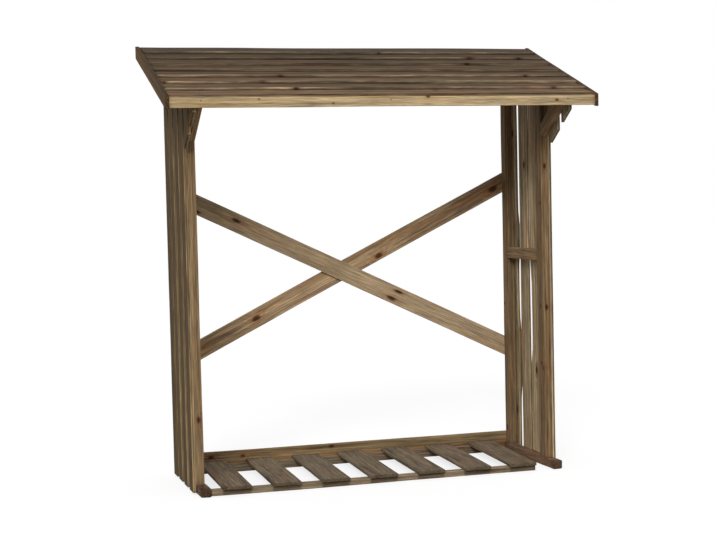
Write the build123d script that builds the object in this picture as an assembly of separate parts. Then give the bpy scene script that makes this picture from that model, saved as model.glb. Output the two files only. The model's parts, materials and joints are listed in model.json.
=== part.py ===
from build123d import *
from math import cos, radians, sin, tan
import os

# Log store: an open lean-to of softwood battens and thin boards. Millimetres, X across the width,
# Y towards the back, Z up. The origin is on the ground under the middle of the roof.

# Overall sizes
panel_width = 1200       # over the outer faces of the two side panels
panel_depth = 340        # front face of the front posts to the back face of the back posts
side_overhang = 81       # outer face of a side panel to the outer face of the barge board
front_overhang = 189     # roof's front edge to the front face of the front posts
back_cover = 3           # roof's back edge behind the crossed diagonals
eave_height = 1188       # underside plane of the roof boards at the roof's front edge
roof_slope_deg = 19.7    # lean-to fall towards the front

# Thin boards of the sides, the back and the diagonals
board_w = 60
board_t = 10
side_board_lift = 6      # board ends kept off the ground
full_boards = 4          # full-height boards on each side
wing_boards = 2          # short boards ahead of each front post

# Framing battens of the side panels
frame_t = 26             # thickness across the width, the same for the whole frame
front_post_d = 46
back_post_d = 38
mid_rail_h = 37
mid_rail_z = 671         # underside of the mid rail
rafter_h = 24
sole_w = 32
sole_h = 28
sole_reach = 57          # sole rail ahead of the front post

# Knee brace between front post and rafter, and the short boards on it
knee_w = 34              # as thick as the frame, so flush with it inside and out
knee_angle_deg = 33
knee_drop = 182          # plumb, from the roof boards to the brace's lower edge at the front post
wing_drop = 35           # plumb, feet of the short boards below the brace's lower edge
wing_gap_share = 0.6     # of the spare room ahead of the post, between the short boards; the rest is at the post

# Roof covering
roof_boards = 8
feather_w = 90           # width of a tapered roof board
feather_butt_t = 8       # lower, thick edge
feather_tip_t = 4        # upper, thin edge
butt_setback = 6         # first butt's lower corner, along the slope, behind the roof's front edge
barge_t = 12
barge_h = 39             # plumb height
barge_front_drop = 3     # barge board's top below the butts of the roof boards, at its front end
barge_back_drop = 8      # the same at its back end
fascia_h = 29
fascia_t = 12

# Back
back_board_z = 7         # underside of the low back board
flat_high_z = 957        # upper edge of the flat diagonal at its high end, on the post's outer face
flat_low_z = 387         # the same at its low end
bowed_high_z = 974       # the same for the bowed diagonal
bowed_low_z = 397
seat_ease = 4            # extra length of the bowed diagonal's flats, past what they lie on
back_rail_h = 44         # top rail between the back posts

# Loose floor: one nailed panel, leaning forward because its back bearer stands on edge
slats = 7
slat_w = 89
slat_t = 10
bearer_w = 28
bearer_t = 18
front_bearer_inset = 10  # slats' front ends ahead of the front bearer
first_slat_inset = 40    # left end of the bearers to the first slat
right_clear = 50         # floor's right end short of the right sole rail
floor_clear = 2          # slats short of the low back board

# Length of saw cuts past the piece that they cut
overrun = 50


def atan_deg(rise, run):
    """Angle of a slope in degrees."""
    return Vector(1, 0, 0).get_angle(Vector(run, rise, 0))


# Derived positions
slope = radians(roof_slope_deg)
roof_width = panel_width + 2 * side_overhang
roof_depth = front_overhang + panel_depth + 2 * board_t + back_cover
roof_front = -roof_depth / 2
roof_back = roof_depth / 2
post_front = roof_front + front_overhang
post_back = post_front + panel_depth
outer_x = panel_width / 2
frame_outer = outer_x - board_t
frame_inner = frame_outer - frame_t
sole_inner = frame_outer - sole_w
board_pitch = (panel_depth - board_w) / (full_boards - 1)
wing_spare = front_overhang - fascia_t - wing_boards * board_w
wing_pitch = board_w + wing_gap_share * wing_spare / max(1, wing_boards - 1)
half_roof = roof_width / 2 - barge_t
covering_run = roof_depth / cos(slope) - butt_setback
feather_pitch = (covering_run - feather_w) / (roof_boards - 1)
butt_lift = feather_butt_t * (feather_w / feather_pitch - 1) + feather_tip_t
slat_length = panel_depth + sole_reach - floor_clear
slat_front = -front_bearer_inset
slat_back = slat_front + slat_length
floor_left = -sole_inner
floor_right = sole_inner - right_clear
slat_pitch = (floor_right - floor_left - first_slat_inset - slat_w) / (slats - 1)
floor_lean_deg = atan_deg(bearer_w - bearer_t, slat_back - bearer_t)


def roof_z(y, n=0):
    """Height at depth y of the plane n above the top of the rafters."""
    return eave_height + (y - roof_front) * tan(slope) + n / cos(slope)


def slope_plane(n=0):
    """Sloping plane n above the top of the rafters, facing up."""
    return Plane(origin=(0, 0, roof_z(0, n)), x_dir=(1, 0, 0), z_dir=(0, -sin(slope), cos(slope)))


def block(x0, x1, y0, y1, z0, z1):
    """Square-sawn piece between two corners."""
    return Pos(x0, y0, z0) * Box(x1 - x0, y1 - y0, z1 - z0, align=(Align.MIN, Align.MIN, Align.MIN))


def below(piece, plane):
    """The piece with what stands above a plane sawn off."""
    return split(piece, bisect_by=plane, keep=Keep.BOTTOM)


def above(piece, plane):
    """The piece with what hangs below a plane sawn off."""
    return split(piece, bisect_by=plane, keep=Keep.TOP)


def across(points, x0, x1):
    """Profile drawn in the side view, run across the width."""
    profile = make_face(Polyline(*points, close=True))
    return extrude(Plane.YZ.offset(x0) * profile, amount=x1 - x0)


def mirrored(piece):
    """The right-hand piece for a left-hand one."""
    return mirror(piece, about=Plane.YZ)


def save(name, shape):
    """Write one named piece, a plain solid or a group of separate ones."""
    export_step(shape, os.path.join("parts", name + ".step"))


# Side panel pieces, drawn for the right-hand side and mirrored to the left

def sole_rail():
    return block(sole_inner, frame_outer, post_front - sole_reach, post_back, 0, sole_h)


def post(y0, y1):
    """Upright on the sole rail, its head cut to the underside of the rafter."""
    upright = block(frame_inner, frame_outer, y0, y1, sole_h, roof_z(y1))
    return below(upright, slope_plane(-rafter_h))


def mid_rail():
    return block(frame_inner, frame_outer, post_front + front_post_d, post_back - back_post_d,
                 mid_rail_z, mid_rail_z + mid_rail_h)


def rafter(x0, x1):
    """Sloping batten under the roof boards, plumb at both ends."""
    y0, y1 = roof_front + fascia_t, roof_back
    corners = [(y0, roof_z(y0, -rafter_h)), (y1, roof_z(y1, -rafter_h)), (y1, roof_z(y1)), (y0, roof_z(y0))]
    return across(corners, x0, x1)


def knee_plane(drop=0):
    """Lower edge of the knee brace, or a line plumb below it, rising towards the front, facing up."""
    a = radians(knee_angle_deg)
    heel = (0, post_front, roof_z(post_front) - knee_drop - drop)
    return Plane(origin=heel, x_dir=(1, 0, 0), z_dir=(0, sin(a), cos(a)))


def knee_brace():
    """Batten set on the slant, cut plumb to the post and on the rafter's slope at its head."""
    run = front_overhang / cos(radians(knee_angle_deg))
    blank = Box(frame_t, 2 * run + knee_w, knee_w, align=(Align.MAX, Align.CENTER, Align.MIN))
    blank = knee_plane() * Pos(frame_outer, 0, 0) * blank
    heel = Plane(origin=(0, post_front, 0), x_dir=(1, 0, 0), z_dir=(0, 1, 0))
    toe = Plane(origin=(0, roof_front + fascia_t, 0), x_dir=(1, 0, 0), z_dir=(0, -1, 0))
    return below(below(below(blank, heel), toe), slope_plane(-rafter_h))


def side_board(y0):
    """Full-height thin board nailed to the outside of the frame."""
    board = block(frame_outer, outer_x, y0, y0 + board_w, side_board_lift, roof_z(y0 + board_w))
    return below(board, slope_plane())


def side_boards():
    return Compound(children=[side_board(post_front + i * board_pitch) for i in range(full_boards)])


def wing_board(y0):
    """Short board ahead of the post, its foot cut along the slant of the knee brace."""
    board = block(frame_outer, outer_x, y0, y0 + board_w, 0, roof_z(y0 + board_w))
    return above(below(board, slope_plane()), knee_plane(wing_drop))


def side_wing():
    first = roof_front + fascia_t
    return Compound(children=[wing_board(first + i * wing_pitch) for i in range(wing_boards)])


# Roof pieces

def roof_board(i):
    """Tapered board: its tip lies on the rafters and its butt on the board below."""
    at = slope_plane() * Pos(0, roof_front / cos(slope) + butt_setback + i * feather_pitch, 0)
    wedge = make_face(Polyline((0, butt_lift), (feather_w, 0), (feather_w, feather_tip_t),
                               (0, butt_lift + feather_butt_t), close=True))
    return at * extrude(Plane.YZ.offset(-half_roof) * wedge, amount=2 * half_roof)


def fascia():
    """Front board under the first roof board, its top bevelled to the board's underside."""
    board = block(-half_roof, half_roof, roof_front, roof_front + fascia_t,
                  roof_z(roof_front, butt_lift) - fascia_h, roof_z(roof_front, butt_lift) + overrun)
    first = slope_plane() * Pos(0, roof_front / cos(slope) + butt_setback, 0)
    lean = atan_deg(butt_lift, feather_w)
    underside = first * Pos(0, 0, butt_lift) * Rot(-lean, 0, 0)
    return below(board, Plane(underside))


def barge_board():
    """Board over the ends of the roof boards, plumb at both ends."""
    top = butt_lift + feather_butt_t
    ends = [roof_z(roof_front, top - barge_front_drop), roof_z(roof_back, top - barge_back_drop)]
    corners = [(roof_front, ends[0] - barge_h), (roof_back, ends[1] - barge_h), (roof_back, ends[1]),
               (roof_front, ends[0])]
    return across(corners, half_roof, half_roof + barge_t)


# Back pieces

def back_top_rail():
    """Rail between the back posts, its top sawn to the underside of the rafters."""
    y0 = post_back - back_post_d
    top = roof_z(y0, -rafter_h)
    rail = block(-frame_inner, frame_inner, y0, post_back, top - back_rail_h, roof_z(post_back))
    return below(rail, slope_plane(-rafter_h))


def low_back_board():
    return block(-frame_outer, frame_outer, post_back, post_back + board_t, back_board_z, back_board_z + board_w)


def diagonal_lean(high, low):
    """Angle of a diagonal from the level, in degrees."""
    return atan_deg(high - low, 2 * frame_outer)


def diagonal_middle(high, low):
    """Height of a diagonal's centre line at mid width."""
    return (high + low) / 2 - board_w / cos(radians(diagonal_lean(high, low))) / 2


def set_on_diagonal(blank, high, low):
    """Lay a board drawn along X on the back of the posts, rising to the left, ends cut plumb."""
    board = Pos(0, post_back, diagonal_middle(high, low)) * Rot(0, diagonal_lean(high, low), 0) * blank
    for side in (1, -1):
        end = Plane(origin=(side * frame_outer, 0, 0), x_dir=(0, 1, 0), z_dir=(side, 0, 0))
        board = below(board, end)
    return board


def flat_diagonal():
    """Diagonal that lies flat on the posts."""
    blank = Box(2 * panel_width, board_t, board_w, align=(Align.CENTER, Align.MIN, Align.CENTER))
    return set_on_diagonal(blank, flat_high_z, flat_low_z)


def bowed_diagonal():
    """Diagonal sprung over the flat one at the crossing and pulled back to the posts at its ends."""
    inner = bow_line(0)
    outer = bow_line(board_t)
    ends = [Line(inner @ 0, outer @ 0), Line(inner @ 1, outer @ 1)]
    profile = make_face([*inner.edges(), *outer.edges(), *ends])
    blank = extrude(profile, amount=board_w / 2, both=True)
    return mirrored(set_on_diagonal(blank, bowed_high_z, bowed_low_z))


def bow_line(y):
    """Line of the bowed board in plan: flat on the posts, a gentle swell, flat over the crossing."""
    lean = radians(diagonal_lean(bowed_high_z, bowed_low_z))
    other = radians(diagonal_lean(flat_high_z, flat_low_z))
    half = frame_outer / cos(lean) + board_w / 2 * tan(lean)
    seat = half - frame_inner / cos(lean) + board_w / 2 * tan(lean) + seat_ease
    rise = diagonal_middle(bowed_high_z, bowed_low_z) - diagonal_middle(flat_high_z, flat_low_z)
    crossing = rise / (tan(lean) + tan(other)) / cos(lean)
    crest = board_w / 2 / tan((lean + other) / 2) + seat_ease
    left = Line((-half, y), (-half + seat, y))
    right = Line((half - seat, y), (half, y))
    top = Line((crossing - crest, y + board_t), (crossing + crest, y + board_t))
    along = [(1, 0), (1, 0)]
    swell = Spline(left @ 1, top @ 0, tangents=along)
    fall = Spline(top @ 1, right @ 0, tangents=along)
    return Wire([left, swell, top, fall, right])


# Floor pieces, butted to the left sole rail, drawn flat from the front bearer's foot

def set_in_floor(piece):
    """Lean a piece of the flat panel so that both bearers stand on the ground."""
    return Pos(0, post_front - sole_reach + front_bearer_inset, 0) * Rot(floor_lean_deg, 0, 0) * piece


def floor_slat(i):
    x0 = floor_left + first_slat_inset + i * slat_pitch
    return set_in_floor(block(x0, x0 + slat_w, slat_front, slat_back, bearer_t, bearer_t + slat_t))


def floor_bearer(y0, y1, height):
    """Batten under the slats from end to end of the floor."""
    return set_in_floor(block(floor_left, floor_right, y0, y1, bearer_t - height, bearer_t))


os.makedirs("parts", exist_ok=True)

sides = {
    "sole_rail": sole_rail(),
    "front_post": post(post_front, post_front + front_post_d),
    "back_post": post(post_back - back_post_d, post_back),
    "mid_rail": mid_rail(),
    "rafter": rafter(frame_inner, frame_outer),
    "knee_brace": knee_brace(),
    "side_boards": side_boards(),
    "wing_boards": side_wing(),
    "barge_board": barge_board(),
}
for name, piece in sides.items():
    save("right_" + name, piece)
    save("left_" + name, mirrored(piece))

for i in range(roof_boards):
    save("roof_board_" + str(i + 1), roof_board(i))
save("front_fascia", fascia())
save("middle_rafter", rafter(-frame_t / 2, frame_t / 2))

save("back_top_rail", back_top_rail())
save("low_back_board", low_back_board())
save("back_diagonal_front", flat_diagonal())
save("back_diagonal_rear", bowed_diagonal())

for i in range(slats):
    save("floor_slat_" + str(i + 1), floor_slat(i))
save("floor_front_bearer", floor_bearer(0, bearer_w, bearer_t))
save("floor_back_bearer", floor_bearer(slat_back - bearer_t, slat_back, bearer_w))
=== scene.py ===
"""Looks of the log store: sawn and weathered boards, nails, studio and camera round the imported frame."""
import json
import logging
import math
import random
from collections.abc import Sequence
from dataclasses import dataclass
from enum import Enum

import bpy
from mathutils import Matrix, Vector


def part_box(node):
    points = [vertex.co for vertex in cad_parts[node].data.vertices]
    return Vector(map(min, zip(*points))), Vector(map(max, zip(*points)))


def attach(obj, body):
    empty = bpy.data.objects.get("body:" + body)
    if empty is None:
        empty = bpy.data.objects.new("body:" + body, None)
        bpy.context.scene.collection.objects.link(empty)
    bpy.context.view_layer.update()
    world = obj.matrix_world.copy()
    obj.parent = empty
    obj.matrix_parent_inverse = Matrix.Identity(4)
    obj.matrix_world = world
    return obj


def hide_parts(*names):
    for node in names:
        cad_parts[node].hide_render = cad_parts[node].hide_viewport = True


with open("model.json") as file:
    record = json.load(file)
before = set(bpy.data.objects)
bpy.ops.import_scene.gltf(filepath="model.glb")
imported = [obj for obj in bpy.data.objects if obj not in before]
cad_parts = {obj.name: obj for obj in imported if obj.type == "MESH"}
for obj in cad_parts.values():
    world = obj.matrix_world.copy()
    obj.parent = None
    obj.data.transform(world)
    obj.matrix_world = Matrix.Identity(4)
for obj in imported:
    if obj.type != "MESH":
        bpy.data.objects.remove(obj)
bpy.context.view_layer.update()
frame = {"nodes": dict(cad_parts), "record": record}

LOG = logging.getLogger("log_store")
MM = 0.001
BODY = "root"
SLOTS = {row["node"]: row["material_slot"] for row in frame["record"]["subparts"]}

# Socket numbers of the colour mix node, whose sockets share their names
MIX_SHARE = 0
MIX_FIRST = 6
MIX_SECOND = 7
MIX_RESULT = 2

# Setting of a map range node that eases in and out
SMOOTH = {"interpolation_type": "SMOOTHSTEP"}

# The sRGB curve of a byte: a straight toe, then a power of the offset value
BYTE = 255
SRGB_TOE = 0.04045
SRGB_SLOPE = 12.92
SRGB_OFFSET = 0.055
SRGB_POWER = 2.4

# Keeps the two directions across a board
ACROSS = (0, 1, 1)

# Points on a board, with the outward direction at each
Spots = list[tuple[Vector, Vector]]


class Element(Enum):
    """What is picked in edit mode."""

    POINTS = "VERT"
    FACES = "FACE"


class Pick(Enum):
    """How much of a mesh is picked when it is opened."""

    ALL = "SELECT"
    NOTHING = "DESELECT"


class Drift(Enum):
    """Direction in which the faces of a board, or all of it, drift from true."""

    OUT_OF_FACE = "NORMAL"
    SIDEWAYS = "X"
    FORE_AND_AFT = "Y"
    UP_AND_DOWN = "Z"


class Side(Enum):
    """Side of the store, by the direction along X in which it faces out."""

    LEFT = -1
    RIGHT = 1

    def node(self, part: str) -> str:
        """Name of this side's node for a part."""
        return f"{self.name.lower()}_{part}"


def linear(code: str, gain: float = 1.0) -> tuple[float, float, float, float]:
    """Turn an sRGB hex colour to linear light.

    Args:
        code: colour as #RRGGBB.
        gain: brightness factor, for a board lighter or darker than its neighbours.

    Returns:
        Linear red, green and blue, and full opacity.
    """
    shares = [int(code[i:i + 2], 16) / BYTE for i in (1, 3, 5)]
    red, green, blue = (
        share / SRGB_SLOPE if share <= SRGB_TOE else ((share + SRGB_OFFSET) / (1 + SRGB_OFFSET)) ** SRGB_POWER
        for share in shares)
    return red * gain, green * gain, blue * gain, 1.0


def add(tree: bpy.types.NodeTree, kind: str, inputs: dict | tuple = (), out: str | int = 0,
        **settings: object) -> bpy.types.NodeSocket | None:
    """Add a shader node with its settings, and fill or link its inputs.

    Args:
        tree: node tree to add to.
        kind: Blender's name for the kind of node, less the ShaderNode that it starts with.
        inputs: constants, or outputs to link from, in socket order or by socket name or number.
        out: name or number of the output that is wanted.
        **settings: properties of the node.

    Returns:
        The wanted output, or nothing for a node that ends the tree.
    """
    node = tree.nodes.new("ShaderNode" + kind)
    for name, value in settings.items():
        setattr(node, name, value)
    for socket, value in inputs.items() if isinstance(inputs, dict) else enumerate(inputs):
        if isinstance(value, bpy.types.NodeSocket):
            tree.links.new(value, node.inputs[socket])
        else:
            node.inputs[socket].default_value = value
    return node.outputs[out] if node.outputs else None


def only(piece: bpy.types.Object) -> None:
    """Select one object alone and make it the active one.

    Args:
        piece: the object.
    """
    bpy.ops.object.select_all(action="DESELECT")
    piece.select_set(True)
    bpy.context.view_layer.objects.active = piece


def edit(piece: bpy.types.Object, element: Element = Element.POINTS, pick: Pick = Pick.ALL) -> None:
    """Open one object in edit mode with its whole mesh picked, or nothing of it.

    Args:
        piece: the object.
        element: what is picked there.
        pick: how much of it.
    """
    only(piece)
    bpy.ops.object.mode_set(mode="EDIT")
    bpy.ops.mesh.select_mode(type=element.value)
    bpy.ops.mesh.select_all(action=pick.value)


def leave_edit() -> None:
    """Go back to object mode."""
    bpy.ops.object.mode_set(mode="OBJECT")


@dataclass(frozen=True)
class Knot:
    """Knot on a board, in millimetres from the middle of its face; right through, or in its edge alone."""

    along: float
    across: float
    radius: float
    in_edge: bool = False


@dataclass(frozen=True)
class Pull:
    """Crook in a board: a shift in millimetres between two shares of its length, fading out over a reach."""

    start: float
    end: float
    shift: tuple[float, float, float]
    reach: float


@dataclass(frozen=True)
class Lay:
    """How a board lies: its middle, its own axes (length, width, thickness) and its size, in metres."""

    middle: Vector
    axes: Matrix
    size: Vector

    @classmethod
    def of(cls, board: bpy.types.Object) -> "Lay":
        """Read the lay of a board from its ends and its broadest face.

        Args:
            board: object with one board in its mesh, still with plain faces.

        Returns:
            The board's lay.
        """
        mesh = board.data
        spots = [vertex.co for vertex in mesh.vertices]
        edges = [spots[b] - spots[a] for a, b in (edge.vertices for edge in mesh.edges)]
        rough = max(edges, key=lambda edge: edge.length)
        ranked = sorted(spots, key=rough.dot)
        half = len(ranked) // 2
        length = sum(ranked[half:], Vector()) / (len(ranked) - half) - sum(ranked[:half], Vector()) / half
        length.normalize()
        broad = max(mesh.polygons, key=lambda face: face.area).normal
        through = (broad - broad.dot(length) * length).normalized()
        extents = [max(map(axis.dot, spots)) - min(map(axis.dot, spots))
                   for axis in (through, through.cross(length))]
        if extents[0] > extents[1]:
            through = through.cross(length)
        length, through = (axis if max(axis, key=abs) > 0 else -axis for axis in (length, through))
        axes = Matrix((length, through.cross(length), through)).transposed()
        turned = [axes.transposed() @ spot for spot in spots]
        low, high = (Vector(pick(spot[i] for spot in turned) for i in range(3)) for pick in (min, max))
        return cls(axes @ ((low + high) / 2), axes, high - low)


@dataclass(frozen=True)
class Bands:
    """Bands of painted shade across a board, in metres along it: where the first starts, their width and
    their pitch.
    """

    start: float
    width: float
    pitch: float
    depth: float = 0.55
    blur: float = 0.12

    def share(self, tree: bpy.types.NodeTree, along: bpy.types.NodeSocket,
              ragged: bpy.types.NodeSocket) -> bpy.types.NodeSocket:
        """How much painted shade the board has at each place along it.

        Args:
            tree: node tree of the board's finish.
            along: output with the place along the board.
            ragged: noise that makes the edges of the bands uneven.

        Returns:
            The output with the share of the dark colour.
        """
        off = add(tree, "Math", (along, self.start), operation="SUBTRACT")
        turns = add(tree, "Math", (off, self.pitch), operation="DIVIDE")
        phase = add(tree, "Math", (turns,), operation="FRACT")
        phase = add(tree, "Math", (phase, self.pitch / self.width), operation="MULTIPLY")
        phase = add(tree, "Math", (ragged, self.blur, phase), operation="MULTIPLY_ADD")
        enter = add(tree, "MapRange", (phase, 0.0, self.blur, 0.0, self.depth), **SMOOTH)
        leave = add(tree, "MapRange", (phase, 1.0, 1.0 + self.blur, 1.0, 0.0), **SMOOTH)
        return add(tree, "Math", (enter, leave), operation="MULTIPLY")


@dataclass(frozen=True)
class Pattern:
    """Noise drawn out along the grain: its size along and across in millimetres, and its octaves."""

    along: float
    across: float
    octaves: float


# What varies on a board; streak, fibre and hair are finer on the real ones than a pixel, so are drawn coarser
PATTERNS: dict[str, Pattern] = {
    "wander": Pattern(420, 50, 2),
    "patch": Pattern(240, 30, 4),
    "warm": Pattern(300, 22, 3),
    "stain": Pattern(190, 16, 3),
    "streak": Pattern(700, 8, 3),
    "fibre": Pattern(130, 5, 3),
    "hair": Pattern(60, 2.2, 2),
}


@dataclass(frozen=True)
class Pine:
    """Pressure-treated pine, sawn and left outdoors: dull, streaked along the grain, with dark knots.

    Lengths are in millimetres. Colours run from early to late wood in a year ring, then to the reddish and
    greyed patches, the worn arrises and the knots.
    """

    name: str
    early: str
    late: str
    warm: str
    grey: str
    edge: str
    knot: str = "#2B1E14"

    # Width of a year ring, strength of rings, patches and streaks, and how coarse all of them are
    ring: float = 6.0
    ringing: float = 0.6
    least_ringing: float = 0.3
    warming: float = 0.45
    greying: float = 0.5
    streaks: float = 0.22
    grain: float = 0.2
    hairs: float = 0.26
    stain: float = 0.5
    cracks: float = 0.6
    coarse: float = 1.0
    noise_roughness: float = 0.62

    # Worn arrises, with painted light on the shaded lower half of roof butts, a damp edge, a sheltered face
    # and stained ends
    wear: float = 0.4
    wear_depth: float = 99.0
    # Pale share below the worn arris; on the roof butts it is painted light that lifts their shaded lower
    # half
    low_wear: float = 0.0
    rim: float = 2.2
    damp: float = 0.0
    damp_depth: float = 40.0
    full_share: float = 0.3
    shelter: tuple[float, float, float] = (1.0, 1.0, 1.0)
    shelter_fade_share: float = 0.3
    end_stain: float = 0.3
    end_depth: float = 12.0

    # Knots: stretch along the board, ragged rim, reach and sweep in knot radii, and rings pushed aside
    knot_stretch: float = 1.8
    knot_rags: float = 0.9
    knot_limit: float = 9.0
    knot_sweep: tuple[float, float] = (0.6, 3.5)
    ring_sweep: float = 1.8

    # Log: wander of its rings, place of its heart, spread of tone, and metres that boards are drawn from
    ring_wander: float = 4.0
    heart_aside_share: float = 0.4
    heart_depth: tuple[float, float] = (18.0, 45.0)
    tone_spread: float = 0.06
    log_reach: float = 9.0

    # Height of late wood, of hairs as a share of it, and the surface
    relief: float = 0.8
    relief_strength: float = 0.4
    hair_share: float = 0.8
    roughness: float = 0.86
    specular: float = 0.2

    def material(self, key: str, lay: Lay, knots: tuple[Knot, ...], outward: int = 0,
                 bands: Bands | None = None) -> bpy.types.Material:
        """Make the finish of one board, its grain turned to the board's own length.

        Args:
            key: name of the board, which also draws its tone and its heartwood.
            lay: how the board lies.
            knots: knots on the board's broad face.
            outward: 1 or -1 for the broad face that the weather reaches, 0 for both.
            bands: bands of painted shade across the board, if it has any.

        Returns:
            The board's own material.
        """
        draw = random.Random(key)
        material = bpy.data.materials.new(self.name + "." + key)
        material.use_nodes = True
        tree = material.node_tree
        tree.nodes.clear()
        gain = draw.uniform(1 - self.tone_spread, 1 + self.tone_spread) * own_value(TONES, key, 1.0)
        codes = (self.early, self.late, self.warm, self.grey, self.edge, self.knot)
        early, late, warm, grey, edge, knot = (linear(code, gain) for code in codes)

        # Coordinates along, across and through the board, and the same moved to the board's own piece of log
        coords = add(tree, "TexCoord", out="Object")
        place = {"Vector": coords, "Location": lay.middle, "Rotation": lay.axes.to_euler()}
        own = add(tree, "Mapping", place, vector_type="TEXTURE")
        shift = [draw.uniform(-self.log_reach, self.log_reach) for _ in range(3)]
        log = add(tree, "VectorMath", (own, shift), operation="ADD")
        x, y, z = (add(tree, "SeparateXYZ", (own,), axis) for axis in "XYZ")
        noise = {}
        for name, pattern in PATTERNS.items():
            across = 1 / (pattern.across * self.coarse * MM)
            drawn = add(tree, "Mapping", {"Vector": log, "Scale": (1 / (pattern.along * MM), across, across)})
            noise[name] = add(tree, "TexNoise", {"Vector": drawn, "Scale": 1.0, "Detail": pattern.octaves,
                                                 "Roughness": self.noise_roughness})

        # Distance from the nearest knot, in knot radii, with a ragged edge
        near = add(tree, "Math", (noise["wander"], self.knot_limit), operation="ADD")
        for spot in knots:
            reach = 1 / (spot.radius * MM)
            off = add(tree, "VectorMath", (own, (spot.along * MM, spot.across * MM, 0)), operation="SUBTRACT")
            radii = add(tree, "VectorMath", (off, (reach / self.knot_stretch, reach, reach * spot.in_edge)),
                        operation="MULTIPLY")
            apart = add(tree, "VectorMath", (radii,), "Value", operation="LENGTH")
            near = add(tree, "Math", (near, apart), operation="MINIMUM")
        ragged = add(tree, "Math", (noise["fibre"], self.knot_rags, near), operation="MULTIPLY_ADD")

        # Year rings round a heart beside the board, swept round the knots
        aside = draw.uniform(-self.heart_aside_share, self.heart_aside_share) * lay.size.y
        heart = (0, aside, -draw.uniform(*self.heart_depth) * MM)
        off = add(tree, "VectorMath", (own, heart), operation="SUBTRACT")
        flat = add(tree, "VectorMath", (off, ACROSS), operation="MULTIPLY")
        radius = add(tree, "VectorMath", (flat,), "Value", operation="LENGTH")
        years = add(tree, "Math", (radius, self.ring * self.coarse * MM), operation="DIVIDE")
        years = add(tree, "Math", (noise["wander"], self.ring_wander, years), operation="MULTIPLY_ADD")
        swept = add(tree, "MapRange", (near, *self.knot_sweep, self.ring_sweep, 0.0), **SMOOTH)
        years = add(tree, "Math", (years, swept), operation="ADD")
        part = add(tree, "Math", (years,), operation="FRACT")

        # Smooth steps: what each reads, where it starts and ends, and its level there
        half = lay.size / 2
        from_axis, from_middle = (add(tree, "Math", (axis,), operation="ABSOLUTE") for axis in (y, x))
        face = add(tree, "Math", (z, float(outward)), operation="MULTIPLY")
        weathered = face if outward else z
        worn_from = half.z - self.wear_depth * MM
        wear = own_value(WEAR, key, self.wear)
        rim = self.rim * MM
        damp_depth = self.damp_depth * MM
        fade = self.shelter_fade_share * lay.size.z
        steps = {
            "late": (part, 0.2, 0.85, 0.0, 1.0),
            "next year": (part, 0.86, 1.0, 1.0, 0.0),
            "ringed": (noise["patch"], 0.3, 0.7, self.least_ringing * self.ringing, self.ringing),
            "warm": (noise["warm"], 0.42, 0.68, 0.0, self.warming),
            "grey": (noise["patch"], 0.38, 0.66, 0.0, self.greying),
            "rim": (from_axis, half.y - rim, half.y - self.full_share * rim, 0.0, 1.0),
            # On the roof butts the pale share below the worn arris is painted light against the butt's shade
            "upper": (weathered, worn_from - MM, worn_from + MM, self.low_wear, wear),
            "worn": (noise["warm"], 0.3, 0.55, 0.6, 1.0),
            "damp": (y, half.y - damp_depth, half.y - self.full_share * damp_depth, 0.0, self.damp),
            "stain": (noise["stain"], 0.52, 0.74, 0.0, self.stain),
            "crack": (noise["streak"], 0.66, 0.72, 0.0, self.cracks),
            "halo": (ragged, 1.6, 3.4, 0.45, 0.0),
            "core": (ragged, 0.9, 1.9, 0.92, 0.0),
            "end": (from_middle, half.x - self.end_depth * MM, half.x, 0.0, self.end_stain),
            "inner": (face, -fade, fade, 1.0, 0.0),
            "streak": (noise["streak"], 0.3, 0.7, 1 - self.streaks, 1 + self.streaks),
            "fibre": (noise["fibre"], 0.25, 0.75, 1 - self.grain, 1 + self.grain),
            "hair": (noise["hair"], 0.3, 0.7, 1 - self.hairs, 1 + self.hairs),
        }
        level = {name: add(tree, "MapRange", step, **SMOOTH) for name, step in steps.items()}
        products = {
            "ring": ("late", "next year"),
            "ring tint": ("ring", "ringed"),
            "arris": ("rim", "worn"),
            "pale arris": ("arris", "upper"),
            "coarse light": ("streak", "fibre"),
            "light": ("coarse light", "hair"),
        }
        for name, (first, second) in products.items():
            level[name] = add(tree, "Math", (level[first], level[second]), operation="MULTIPLY")

        # Colour from the wood outwards; shelter multiplies the colour so far, the rest covers it
        layers = [
            ("ring tint", late), ("warm", warm), ("grey", grey), ("damp", warm),
            ("inner", (*self.shelter, 1.0)), ("pale arris", edge), ("stain", knot), ("crack", knot),
            ("halo", warm), ("core", knot), ("end", knot),
        ]
        colour = early
        for name, tint in layers:
            sockets = {MIX_SHARE: level[name], MIX_FIRST: colour, MIX_SECOND: tint}
            colour = add(tree, "Mix", sockets, MIX_RESULT, data_type="RGBA",
                         blend_type="MULTIPLY" if name == "inner" else "MIX")
        colour = add(tree, "VectorMath", {0: colour, "Scale": level["light"]}, operation="SCALE")
        # Painted shade: dark bands where the slats above would shade the board
        if bands:
            painted_shade = bands.share(tree, x, noise["stain"])
            colour = add(tree, "Mix", {MIX_SHARE: painted_shade, MIX_FIRST: colour, MIX_SECOND: knot}, MIX_RESULT,
                         data_type="RGBA")

        # Late wood stands proud of the washed-out early wood, with fine fibres between
        height = add(tree, "Math", (noise["hair"], self.hair_share, level["ring"]), operation="MULTIPLY_ADD")
        bump = add(tree, "Bump", {"Height": height, "Strength": self.relief_strength,
                                  "Distance": self.relief * MM})
        shader = add(tree, "BsdfPrincipled", {"Base Color": colour, "Roughness": self.roughness,
                                              "Specular IOR Level": self.specular, "Normal": bump})
        add(tree, "OutputMaterial", {"Surface": shader})
        return material


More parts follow.
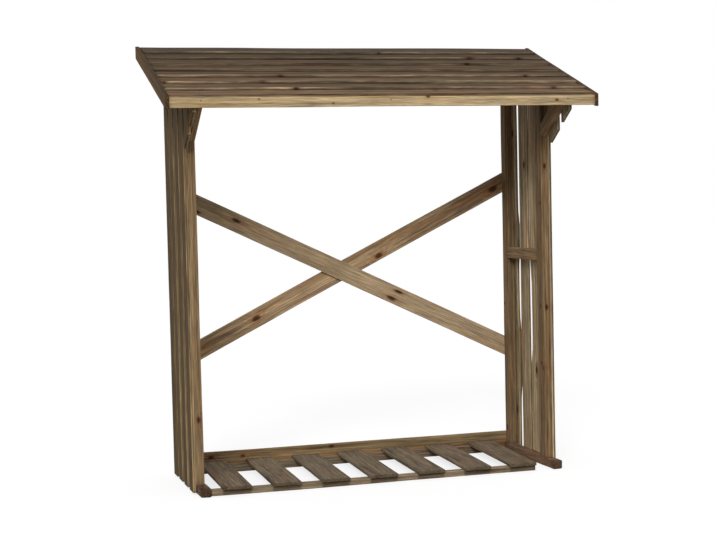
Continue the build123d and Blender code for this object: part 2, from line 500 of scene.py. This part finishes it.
class Finish(Enum):
    """Finish of each material slot of the record, and of a node that differs from its slot."""

    # The most weathered: dark and streaked by rain, with pale worn butts, the shaded lower half of each butt
    # lifted with painted light
    ROOF_BOARD = Pine("roof_pine", "#68533C", "#40301F", "#6C4228", "#5F5140", "#CBB691", coarse=1.5,
                      wear=0.85, wear_depth=3.5, low_wear=0.3, warming=0.65, streaks=0.5, grain=0.4,
                      hairs=0.3)
    # The freshest: pale straw with a quiet grain
    FASCIA = Pine("fascia_pine", "#C4AB83", "#A0865E", "#B58F5D", "#B7A381", "#CDB48C", ringing=0.12,
                  wear=0.3, stain=0.4, warming=0.6, greying=0.35, cracks=0.2, grain=0.25)
    # Dark brown, and darker still along its arrises
    BARGE = Pine("barge_pine", "#5D4427", "#3B2A16", "#57361A", "#4B3C26", "#352718", streaks=0.45, wear=0.6)
    # Greyed and dusty
    FLOOR = Pine("floor_pine", "#756652", "#544531", "#6E513A", "#675C4A", "#796A54", coarse=1.2, ringing=0.3,
                 warming=0.6, greying=0.65, streaks=0.18, grain=0.3, hairs=0.32, stain=0.7)
    # Dark outside with a thin pale arris, and still pale on the sheltered side
    SIDE_BOARD = Pine("side_pine", "#5C482A", "#3A2A16", "#603C1E", "#4E4129", "#B59A6C", wear=0.9,
                      wear_depth=2.5, low_wear=0.12, streaks=0.45, grain=0.28, shelter=(3.85, 4.85, 7.9))
    # Pale straw, lightly streaked, with long knots
    BACK_BOARD = Pine("back_pine", "#B59D7B", "#927757", "#A77E5A", "#9E8C74", "#B9A27E", ringing=0.4,
                      streaks=0.14, stain=0.35, knot_stretch=2.7)
    # Redder, with strong rings and large knots
    BACK_DIAGONAL_REAR = Pine("rear_diagonal_pine", "#BC9F79", "#7C5C3F", "#A87247", "#A18F76", "#C2A77F",
                              knot="#3E2418", warming=0.7, streaks=0.3)
    # Brown, and redder with damp towards its lower edge
    LOW_BACK_BOARD = Pine("low_back_pine", "#8E7856", "#67523A", "#83502C", "#7B694E", "#937D59", damp=0.7,
                          streaks=0.36, stain=0.7)
    # Reddish brown from the wet ground, dark at the ends
    SOLE = Pine("sole_pine", "#81634C", "#583F2E", "#74462F", "#6E5B4C", "#82644C", warming=0.6, stain=0.85,
                end_stain=0.55, end_depth=30.0)
    # Yellowish brown battens, less weathered than the boards
    FRAME = Pine("frame_pine", "#8B7252", "#614A31", "#895E38", "#776750", "#8E7450", wear=0.15, streaks=0.34,
                 grain=0.26)


# Knots that show in the photograph, by board; across runs up the slope, down or inwards, as the board lies
KNOTS: dict[str, tuple[Knot, ...]] = {
    "roof_board_1": (Knot(160, 10, 5.5),),
    "roof_board_2": (Knot(-275, -42, 5.5), Knot(195, -9, 5), Knot(560, -40, 7.5)),
    "roof_board_3": (Knot(-360, -38, 6.5), Knot(-660, -42, 4)),
    "roof_board_4": (Knot(-290, -40, 6.5), Knot(120, -25, 4.5), Knot(355, 10, 4.5), Knot(520, -42, 5)),
    "roof_board_5": (Knot(-370, -20, 6),),
    "roof_board_6": (Knot(370, -42, 5),),
    "roof_board_7": (Knot(405, -38, 9), Knot(-400, 24, 4), Knot(580, -42, 4.5)),
    "roof_board_8": (Knot(110, -42, 4.5),),
    "front_fascia": (Knot(-405, -8, 2), Knot(-180, 6, 2), Knot(540, 0, 3.5), Knot(118, -13, 4)),
    "back_diagonal_front": (Knot(-416, -6, 6), Knot(180, 15, 7), Knot(195, -15, 6), Knot(-545, 21, 5)),
    "back_diagonal_rear": (Knot(-347, -2, 9), Knot(123, 15, 8.5), Knot(589, 6, 10)),
    "low_back_board": (Knot(-67, -21, 5), Knot(-478, -12, 6), Knot(-371, -11, 4)),
    "right_side_boards.3": (Knot(311, 14, 5.5), Knot(-229, -28, 5.5)),
    "right_side_boards.2": (Knot(-356, 8, 7),),
    "right_front_post": (Knot(-116, 23, 6, True), Knot(223, 8, 3.5), Knot(342, 23, 5, True), Knot(-112, 6, 4),
                         Knot(-300, 4, 4), Knot(-313, 18, 4)),
    "right_back_post": (Knot(-177, -8, 3.5), Knot(-609, -5, 6)),
    "left_front_post": (Knot(-408, 23, 6, True),),
    "floor_slat_2": (Knot(4, 7, 2.5), Knot(-9, -27, 2.5)),
    "floor_slat_5": (Knot(-180, 4, 5),),
}

# Boards that are paler or darker than others of their kind
TONES: dict[str, float] = {
    "roof_board_1": 1.32, "roof_board_2": 0.82, "roof_board_3": 0.9, "roof_board_4": 0.65,
    "roof_board_5": 0.56, "roof_board_6": 0.63, "roof_board_7": 0.45, "roof_board_8": 0.39,
    "left_side_boards": 0.88, "left_side_boards.4": 0.68, "left_wing_boards": 1.2,
    "left_front_post": 1.1, "right_front_post": 0.9, "right_back_post": 0.95,
    "left_mid_rail": 1.15, "right_mid_rail": 1.15, "left_knee_brace": 1.35, "right_knee_brace": 1.35,
    "left_sole_rail": 0.8, "floor_front_bearer": 1.45, "floor_back_bearer": 1.35,
}

# Butts of roof boards and arrises of side boards that have worn less pale than others of their kind
WEAR: dict[str, float] = {
    "roof_board_1": 0.1, "roof_board_5": 0.25, "roof_board_6": 0.2, "right_side_boards": 0.2,
    "left_side_boards.3": 0.7, "left_side_boards.4": 0.25, "left_wing_boards": 0.5,
}

# Crooks that open and close the slits of the right side, and the splayed fronts of the sole rails, by board
PULLS: dict[str, tuple[Pull, ...]] = {
    "right_side_boards.2": (Pull(0.505, 1.0, (-3.2, 4, 0), 90), Pull(0.0, 0.235, (-3.2, 4, 0), 60)),
    "right_side_boards.4": (Pull(0.495, 0.565, (3.2, -3, 0), 60), Pull(0.175, 0.285, (3.2, -3, 0), 60)),
    "right_wing_boards.1": (Pull(0.4, 0.6, (-2, 6, 0), 400),),
    "right_wing_boards.2": (Pull(0.4, 0.6, (-1.5, 5, 0), 400),),
    "right_sole_rail": (Pull(0.0, 0.03, (8, 0, 0), 230),),
    "left_sole_rail": (Pull(0.0, 0.03, (4, 0, 0), 200),),
}


def own_value(table: dict[str, float], key: str, usual: float) -> float:
    """Look up a board's own value, or else its node's.

    Args:
        table: values by board or by node.
        key: name of the board.
        usual: value of a board that is not in the table.

    Returns:
        The value.
    """
    return table.get(key, table.get(key.split(".")[0], usual))


@dataclass(frozen=True)
class Board:
    """One board of a node: its name, its object and how it lies."""

    key: str
    solid: bpy.types.Object
    lay: Lay

    def spot(self, along: float, across: float, face: int) -> Spots:
        """Point on a broad face of the board as it was worked.

        Args:
            along: metres along the length from the middle.
            across: metres across the width from the middle.
            face: 1 for the face that looks along the thickness axis, -1 for the other.

        Returns:
            The point and the outward direction there, or nothing where the board does not reach.
        """
        outward = self.lay.axes.col[2] * face
        start = self.lay.middle + self.lay.axes @ Vector((along, across, 0)) + outward * self.lay.size.x
        hit, point, normal, _ = self.solid.ray_cast(start, -outward)
        return [(point, normal)] if hit else []

    def grid(self, levels: Sequence[float], rows: Sequence[float], face: int) -> Spots:
        """Points in rows on a broad face of the board, for its nails.

        Args:
            levels: metres along the length from the middle.
            rows: metres across the width from the middle.
            face: 1 for the face that looks along the thickness axis, -1 for the other.

        Returns:
            The points and the outward directions there.
        """
        return [spot for along in levels for across in rows for spot in self.spot(along, across, face)]


@dataclass(frozen=True)
class Sawmill:
    """Turns the plain solids of a node into sawn boards; sizes in millimetres, angles in degrees."""

    step: float = 85.0
    strip: float = 24.0
    ease: float = 1.3
    wave: float = 1.4
    wave_span: float = 170.0
    sway: float = 3.0
    sway_way: Drift = Drift.UP_AND_DOWN
    sway_span: float = 420.0
    soft_angle: float = 18.0
    flat_angle: float = 0.1
    weld: float = 0.01
    arris_angle: float = 30.0
    arris_segments: int = 2
    grip_share: float = 0.02

    def boards(self, node: str) -> list[Board]:
        """Copy a node, part it into its boards and work each one.

        Args:
            node: name of the node.

        Returns:
            The node's boards, front to back.
        """
        blank = frame["nodes"][node].copy()
        blank.data = blank.data.copy()
        blank.parent = None
        bpy.context.collection.objects.link(blank)
        edit(blank)
        bpy.ops.mesh.remove_doubles(threshold=self.weld * MM)
        bpy.ops.mesh.dissolve_limited(angle_limit=math.radians(self.flat_angle))
        bpy.ops.mesh.separate(type="LOOSE")
        leave_edit()
        solids = sorted(bpy.context.selected_objects, key=lambda solid: Lay.of(solid).middle.y)
        several = len(solids) > 1
        made = []
        for number, solid in enumerate(solids, 1):
            key = f"{node}.{number}" if several else node
            board = Board(key, solid, Lay.of(solid))
            self.cut(board)
            self.weather(board)
            for pull in PULLS.get(key, ()):
                self.bend(board, pull)
            made.append(board)
        return made

    def cut(self, board: Board) -> None:
        """Rule a board into short lengths and strips, so that its faces can wander.

        Args:
            board: board to cut.
        """
        edit(board.solid)
        for axis, spacing in ((0, self.step), (1, self.strip)):
            extent = board.lay.size[axis]
            pieces = max(1, round(extent / (spacing * MM)))
            normal = board.lay.axes.col[axis]
            for i in range(1, pieces):
                bpy.ops.mesh.select_all(action="SELECT")
                spot = board.lay.middle + normal * extent * (i / pieces - 0.5)
                bpy.ops.mesh.bisect(plane_co=spot, plane_no=normal)
        leave_edit()

    def weather(self, board: Board) -> None:
        """Round the arrises, then let the faces wander and the whole board sway, as sawn boards do outdoors.

        Args:
            board: board to work on.
        """
        only(board.solid)
        arris = board.solid.modifiers.new("arris", "BEVEL")
        arris.width = self.ease * MM
        arris.segments = self.arris_segments
        arris.limit_method = "ANGLE"
        arris.angle_limit = math.radians(self.arris_angle)
        bpy.ops.object.modifier_apply(modifier=arris.name)
        for name, height, span, way in (("wander", self.wave, self.wave_span, Drift.OUT_OF_FACE),
                                        ("sway", self.sway, self.sway_span, self.sway_way)):
            clouds = bpy.data.textures.new(name, "CLOUDS")
            clouds.noise_scale = span * MM
            shift = board.solid.modifiers.new(name, "DISPLACE")
            shift.texture = clouds
            shift.texture_coords = "LOCAL"
            shift.direction = way.value
            shift.strength = height * MM
            bpy.ops.object.modifier_apply(modifier=shift.name)
        bpy.ops.object.shade_smooth_by_angle(angle=math.radians(self.soft_angle))

    def bend(self, board: Board, pull: Pull) -> None:
        """Draw a stretch of a board sideways, with the rest following over a reach.

        Args:
            board: board to bend.
            pull: where, how far and over what reach.
        """
        edit(board.solid, pick=Pick.NOTHING)
        leave_edit()
        length = board.lay.axes.col[0]
        for vertex in board.solid.data.vertices:
            share = (vertex.co - board.lay.middle).dot(length) / board.lay.size.x + 0.5
            vertex.select = pull.start - self.grip_share < share < pull.end + self.grip_share
        bpy.ops.object.mode_set(mode="EDIT")
        bpy.ops.transform.translate(value=Vector(pull.shift) * MM, use_proportional_edit=True,
                                    proportional_edit_falloff="SMOOTH", proportional_size=pull.reach * MM)
        leave_edit()


# Boards that are rougher or more crooked than the rest, by slot
MILLS: dict[str, Sawmill] = {
    "roof_board": Sawmill(strip=30.0, ease=0.7, wave=0.4, sway=5.0, sway_span=330.0),
    "side_board": Sawmill(step=45.0, ease=0.7, wave=1.0, sway_way=Drift.FORE_AND_AFT, sway=1.5),
    "sole": Sawmill(ease=4.0, wave=3.0, wave_span=45.0, step=28.0, sway=0.5),
    "frame": Sawmill(sway_way=Drift.SIDEWAYS, sway=2.0),
}


@dataclass(frozen=True)
class NailSteel:
    """Galvanised wire nails gone dull: grey-brown, faintly metallic."""

    name: str = "dull_galvanised_steel"
    zinc: str = "#5E564C"
    rust: str = "#4A3524"
    grain: float = 1.6
    metallic: float = 0.5
    roughness: float = 0.6

    def material(self) -> bpy.types.Material:
        """Make the finish, blotched with rust, or take it if it is made already.

        Returns:
            The finish that all nails share.
        """
        ready = bpy.data.materials.get(self.name)
        if ready:
            return ready
        material = bpy.data.materials.new(self.name)
        material.use_nodes = True
        tree = material.node_tree
        tree.nodes.clear()
        coords = add(tree, "TexCoord", out="Object")
        blotch = add(tree, "TexNoise", {"Vector": coords, "Scale": 1 / (self.grain * MM)})
        zinc, rust = linear(self.zinc), linear(self.rust)
        colour = add(tree, "Mix", {MIX_SHARE: blotch, MIX_FIRST: zinc, MIX_SECOND: rust}, MIX_RESULT,
                     data_type="RGBA")
        shader = add(tree, "BsdfPrincipled", {"Base Color": colour, "Metallic": self.metallic,
                                              "Roughness": self.roughness})
        add(tree, "OutputMaterial", {"Surface": shader})
        return material


@dataclass(frozen=True)
class NailHeads:
    """Heads of the round nails that hold one sub-assembly; sizes in millimetres."""

    name: str
    radius: float = 2.1
    height: float = 1.4
    proud: float = 0.5
    sides: int = 10
    rim_share: float = 0.3
    dish_rim_share: float = 0.3
    dish_depth_share: float = 0.15
    upright: float = 0.9

    def head(self) -> bpy.types.Object:
        """Model one head at the origin, looking up: a low disc with a rounded rim and a dished top.

        Returns:
            The head.
        """
        bpy.ops.object.select_all(action="DESELECT")
        bpy.ops.mesh.primitive_cylinder_add(
            vertices=self.sides, radius=self.radius * MM, depth=self.height * MM,
            location=(0, 0, (self.proud - self.height / 2) * MM))
        head = bpy.context.object
        only(head)
        bpy.ops.object.transform_apply(location=True, rotation=True, scale=True)
        edit(head, Element.FACES, Pick.NOTHING)
        leave_edit()
        self.open_top(head)
        bpy.ops.mesh.bevel(offset=self.rim_share * self.height * MM, segments=1, affect="EDGES")
        leave_edit()
        self.open_top(head)
        bpy.ops.mesh.inset(thickness=self.dish_rim_share * self.radius * MM)
        bpy.ops.transform.translate(value=(0, 0, -self.dish_depth_share * self.height * MM))
        leave_edit()
        return head

    def open_top(self, head: bpy.types.Object) -> None:
        """Open a head in edit mode with its top selected.

        Args:
            head: the head.
        """
        for face in head.data.polygons:
            face.select = face.normal.z > self.upright
        bpy.ops.object.mode_set(mode="EDIT")

    def drive(self, spots: Spots) -> bpy.types.Object:
        """Set a copy of the head at each spot and join them.

        Args:
            spots: points on the boards and the outward directions there.

        Returns:
            All the heads as one piece.
        """
        head = self.head()
        copies = []
        for point, outward in spots:
            copy = bpy.data.objects.new(self.name, head.data.copy())
            turn = Vector((0, 0, 1)).rotation_difference(outward).to_matrix().to_4x4()
            copy.data.transform(Matrix.Translation(point) @ turn)
            bpy.context.collection.objects.link(copy)
            copies.append(copy)
        bpy.data.objects.remove(head)
        piece = join(copies, self.name)
        piece.data.materials.clear()
        piece.data.materials.append(NailSteel().material())
        return piece


def join(solids: list[bpy.types.Object], name: str) -> bpy.types.Object:
    """Join objects into one and name it.

    Args:
        solids: objects to join.
        name: name of the whole.

    Returns:
        The joined object.
    """
    only(solids[0])
    for solid in solids:
        solid.select_set(True)
    if len(solids) > 1:
        bpy.ops.object.join()
    piece = bpy.context.view_layer.objects.active
    piece.name = name
    return piece


@dataclass
class SubAssembly:
    """Boards of several nodes, worked, dressed and nailed; sizes in millimetres."""

    name: str
    nodes: tuple[str, ...]
    outward: int = 0
    nail_edge: float = 14.0

    def build(self) -> list[bpy.types.Object]:
        """Work every node, then drive the nails.

        Returns:
            The pieces made.
        """
        pieces, spots = [], []
        for node in self.nodes:
            boards = MILLS.get(SLOTS[node], Sawmill()).boards(node)
            for board in boards:
                spots += self.nails(board)
            pieces.append(self.dress(node, boards))
        heads = NailHeads(self.name + "_nails").drive(spots)
        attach(heads, BODY)
        return pieces + [heads]

    def dress(self, node: str, boards: list[Board]) -> bpy.types.Object:
        """Give each board its finish and put the boards in the node's place.

        Args:
            node: node that the boards stand for.
            boards: the node's boards.

        Returns:
            The finished piece.
        """
        finish = Finish.__members__.get(node.upper(), Finish[SLOTS[node].upper()]).value
        for board in boards:
            board.solid.data.materials.clear()
            outward = self.outward if SLOTS[node] == "side_board" else 0
            skin = finish.material(board.key, board.lay, knots_of(board), outward, self.bands(board))
            board.solid.data.materials.append(skin)
        piece = join([board.solid for board in boards], node + "_timber")
        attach(piece, BODY)
        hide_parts(node)
        return piece

    def bands(self, board: Board) -> Bands | None:
        """Bands of painted shade on one board; none unless a sub-assembly says so."""
        return None

    def nails(self, board: Board) -> Spots:
        """Places of the nails in one board; none unless a sub-assembly says so."""
        return []


# Knots drawn for other boards: millimetres of board to each, and shares of half its length and width
KNOT_PITCH = 600.0
KNOT_ALONG_SHARE = 0.9
KNOT_ACROSS_SHARE = 0.6
KNOT_RADIUS_SHARES = (0.12, 0.26)


def knots_of(board: Board) -> tuple[Knot, ...]:
    """Knots that a board shows, or a few drawn for it where none is known.

    Args:
        board: the board.

    Returns:
        Its knots.
    """
    if board.key in KNOTS:
        return KNOTS[board.key]
    draw = random.Random("knots " + board.key)
    half_length, half_width = board.lay.size.x / MM / 2, board.lay.size.y / MM / 2
    drawn = []
    for _ in range(int(2 * half_length / KNOT_PITCH)):
        along = draw.uniform(-KNOT_ALONG_SHARE, KNOT_ALONG_SHARE) * half_length
        across = draw.uniform(-KNOT_ACROSS_SHARE, KNOT_ACROSS_SHARE) * half_width
        drawn.append(Knot(along, across, draw.uniform(*KNOT_RADIUS_SHARES) * half_width))
    return tuple(drawn)


def middle_of(node: str) -> Vector:
    """Middle of a node's box."""
    low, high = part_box(node)
    return (low + high) / 2


@dataclass
class SidePanel(SubAssembly):
    """One slatted side: frame, boards, wing boards and knee brace."""

    side: Side = Side.LEFT
    top_nail: float = 36.0
    wing_nail_shares: tuple[float, float] = (0.3, -0.1)

    @classmethod
    def on(cls, side: Side) -> "SidePanel":
        """Take the nodes of one side.

        Args:
            side: the side.

        Returns:
            The panel on that side.
        """
        parts = ("sole_rail", "front_post", "back_post", "mid_rail", "rafter", "knee_brace", "side_boards",
                 "wing_boards")
        return cls(side.node("panel"), tuple(map(side.node, parts)), side.value, side=side)

    def nails(self, board: Board) -> Spots:
        """Two nails wherever a side board crosses the sole rail, the mid rail and the rafter.

        Args:
            board: any board of the panel.

        Returns:
            Places of its nails.
        """
        lay = board.lay
        inset = lay.size.y / 2 - self.nail_edge * MM
        if "wing_boards" in board.key:
            levels = [share * lay.size.x for share in self.wing_nail_shares]
        elif "side_boards" in board.key:
            rails = [middle_of(self.side.node(part)).z for part in ("sole_rail", "mid_rail")]
            levels = [level - lay.middle.z for level in rails]
            levels.append(lay.size.x / 2 - self.top_nail * MM)
        else:
            return []
        return board.grid(levels, (-inset, inset), self.outward)


@dataclass
class Roof(SubAssembly):
    """Lapped boards, their carriers and trims."""

    butt_nail: float = 22.4
    fascia_nail: float = 4.0
    barge_nail_shares: tuple[float, ...] = (-0.42, -0.14, 0.14, 0.42)

    @classmethod
    def whole(cls) -> "Roof":
        """Take all the nodes of the roof.

        Returns:
            The roof.
        """
        boards = sorted(node for node in SLOTS if node.startswith("roof_board_"))
        trims = ("front_fascia", "middle_rafter", "left_barge_board", "right_barge_board")
        return cls("roof", (*boards, *trims))

    def nails(self, board: Board) -> Spots:
        """A nail near the butt over each rafter, and the trims nailed along their length.

        Args:
            board: any board of the roof.

        Returns:
            Places of its nails.
        """
        lay = board.lay
        rafters = [middle_of(node).x for node in ("left_rafter", "middle_rafter", "right_rafter")]
        if board.key.startswith("roof_board"):
            low = self.butt_nail * MM - lay.size.y / 2
            return board.grid(rafters, (low,), 1)
        if board.key == "front_fascia":
            return board.grid(rafters, (-self.fascia_nail * MM,), -1)
        if "barge" in board.key:
            face = Side[board.key.split("_")[0].upper()].value
            return board.grid([share * lay.size.x for share in self.barge_nail_shares], (0,), face)
        return []


@dataclass
class Back(SubAssembly):
    """Top rail, crossed diagonals and low board."""

    end_nail: float = 30.8
    low_nail_share: float = 0.25

    @classmethod
    def whole(cls) -> "Back":
        """The back with all its nodes."""
        return cls("back", ("back_top_rail", "low_back_board", "back_diagonal_front", "back_diagonal_rear"))

    def nails(self, board: Board) -> Spots:
        """Two nails from behind at each post.

        Args:
            board: any board of the back.

        Returns:
            Places of its nails.
        """
        if board.key == "back_top_rail":
            return []
        lay = board.lay
        inset = self.low_nail_share * lay.size.y if board.key == "low_back_board" else self.nail_edge * MM
        end = lay.size.x / 2 - self.end_nail * MM
        return board.grid((-end, end), (-inset, inset), 1)


@dataclass
class Floor(SubAssembly):
    """Loose slatted floor."""

    slat_nail: float = 21.0

    @classmethod
    def whole(cls) -> "Floor":
        """The floor with all its nodes."""
        slats = sorted(node for node in SLOTS if node.startswith("floor_slat_"))
        return cls("floor", (*slats, "floor_front_bearer", "floor_back_bearer"))

    def bands(self, board: Board) -> Bands | None:
        """Painted shade on the front bearer, in bands under the overhanging slat ends.

        Args:
            board: any board of the floor.

        Returns:
            The bands of painted shade on the front bearer, nothing for the rest.
        """
        if board.key != "floor_front_bearer":
            return None
        (low, high), (following, _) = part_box("floor_slat_1"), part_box("floor_slat_2")
        return Bands(low.x - board.lay.middle.x, high.x - low.x, following.x - low.x)

    def nails(self, board: Board) -> Spots:
        """Two nails through each slat over each bearer.

        Args:
            board: any board of the floor.

        Returns:
            Places of its nails.
        """
        if "bearer" in board.key:
            return []
        lay = board.lay
        levels = [middle_of(node).y - lay.middle.y for node in ("floor_front_bearer", "floor_back_bearer")]
        inset = lay.size.y / 2 - self.slat_nail * MM
        return board.grid(levels, (-inset, inset), 1)


@dataclass(frozen=True)
class Studio:
    """Pale floor, soft light and the camera; lengths in millimetres, angles in degrees."""

    camera_place: tuple[float, float, float] = (-1395.4, -4607.4, 935.0)
    camera_yaw: float = 16.461
    camera_pitch: float = 3.254
    camera_roll: float = 1.333
    level_turn: float = 90.0
    focal_length: float = 75.95
    sensor: float = 36.0
    floor_size: float = 16000.0
    floor_gap: float = 0.5
    key_from: tuple[float, float, float] = (-0.42, -0.82, 0.58)
    key_spread: float = 22.0
    key_strength: float = 1.7
    zenith: float = 0.8
    horizon: float = 0.4
    underfoot: float = 0.03
    ground_blur: float = 0.05
    backdrop: str = "#FFFFFF"
    paper: str = "#8C8C8C"
    floor_glow: float = 0.78

    def build(self) -> None:
        """Set up the floor, the light and the camera."""
        self.floor()
        self.world()
        self.key()
        self.camera()

    def floor(self) -> None:
        """Pale floor that shows white where nothing shades it."""
        bpy.ops.object.select_all(action="DESELECT")
        bpy.ops.mesh.primitive_plane_add(size=self.floor_size * MM, location=(0, 0, -self.floor_gap * MM))
        floor = bpy.context.object
        floor.name = "studio_floor"
        material = bpy.data.materials.new("matt_white_paper")
        material.use_nodes = True
        tree = material.node_tree
        tree.nodes.clear()
        paper = add(tree, "BsdfDiffuse", {"Color": linear(self.paper)})
        glow = add(tree, "Math", (self.seen(tree), self.floor_glow), operation="MULTIPLY")
        lift = add(tree, "Emission", {"Strength": glow})
        add(tree, "OutputMaterial", {"Surface": add(tree, "AddShader", (paper, lift))})
        floor.data.materials.append(material)

    def seen(self, tree: bpy.types.NodeTree) -> bpy.types.NodeSocket:
        """Output that is 1 on rays that show the background: straight, mirrored or through glass.

        Args:
            tree: node tree to add to.

        Returns:
            The output socket.
        """
        sight = add(tree, "LightPath", out="Is Camera Ray")
        for other in ("Is Glossy Ray", "Is Transmission Ray"):
            sight = add(tree, "Math", (sight, add(tree, "LightPath", out=other)), operation="MAXIMUM")
        return sight

    def world(self) -> None:
        """White all round to the eye, and a soft light from above on the object."""
        world = bpy.data.worlds.new("studio")
        bpy.context.scene.world = world
        world.use_nodes = True
        tree = world.node_tree
        tree.nodes.clear()
        way = add(tree, "TexCoord", out="Generated")
        up = add(tree, "SeparateXYZ", (way,), "Z")
        sky = add(tree, "MapRange", (up, 0.0, 1.0, self.horizon, self.zenith))
        ground = add(tree, "MapRange", (up, -self.ground_blur, 0.0, self.underfoot, 1.0))
        light = add(tree, "Math", (sky, ground), operation="MULTIPLY")
        level = add(tree, "MapRange", (self.seen(tree), 0.0, 1.0, light, 1.0))
        backdrop = add(tree, "Background", {"Color": linear(self.backdrop), "Strength": level})
        add(tree, "OutputWorld", {"Surface": backdrop})

    def key(self) -> None:
        """Wide soft light from the front, left of the camera and above it."""
        lamp = bpy.data.lights.new("key", "SUN")
        lamp.energy = self.key_strength
        lamp.angle = math.radians(self.key_spread)
        holder = bpy.data.objects.new("key", lamp)
        holder.rotation_euler = (-Vector(self.key_from)).to_track_quat("-Z", "Y").to_euler()
        bpy.context.collection.objects.link(holder)

    def camera(self) -> None:
        """Camera at the photograph's place and angle."""
        lens = bpy.data.cameras.new("camera")
        lens.sensor_fit = "HORIZONTAL"
        lens.sensor_width = self.sensor
        lens.lens = self.focal_length
        holder = bpy.data.objects.new("camera", lens)
        turn = (Matrix.Rotation(-math.radians(self.camera_yaw), 4, "Z")
                @ Matrix.Rotation(math.radians(self.level_turn - self.camera_pitch), 4, "X")
                @ Matrix.Rotation(-math.radians(self.camera_roll), 4, "Z"))
        holder.matrix_world = Matrix.Translation(Vector(self.camera_place) * MM) @ turn
        bpy.context.collection.objects.link(holder)
        bpy.context.scene.camera = holder


def main() -> None:
    """Build the sub-assemblies in order, then the studio."""
    logging.basicConfig(level=logging.INFO, format="%(name)s: %(message)s")
    for assembly in (SidePanel.on(Side.LEFT), SidePanel.on(Side.RIGHT), Back.whole(), Roof.whole(),
                     Floor.whole()):
        for piece in assembly.build():
            LOG.info("%s: %s, %d faces", assembly.name, piece.name, len(piece.data.polygons))
    Studio().build()
    bpy.context.scene.view_settings.view_transform = "Standard"


if __name__ == "__main__":
    main()
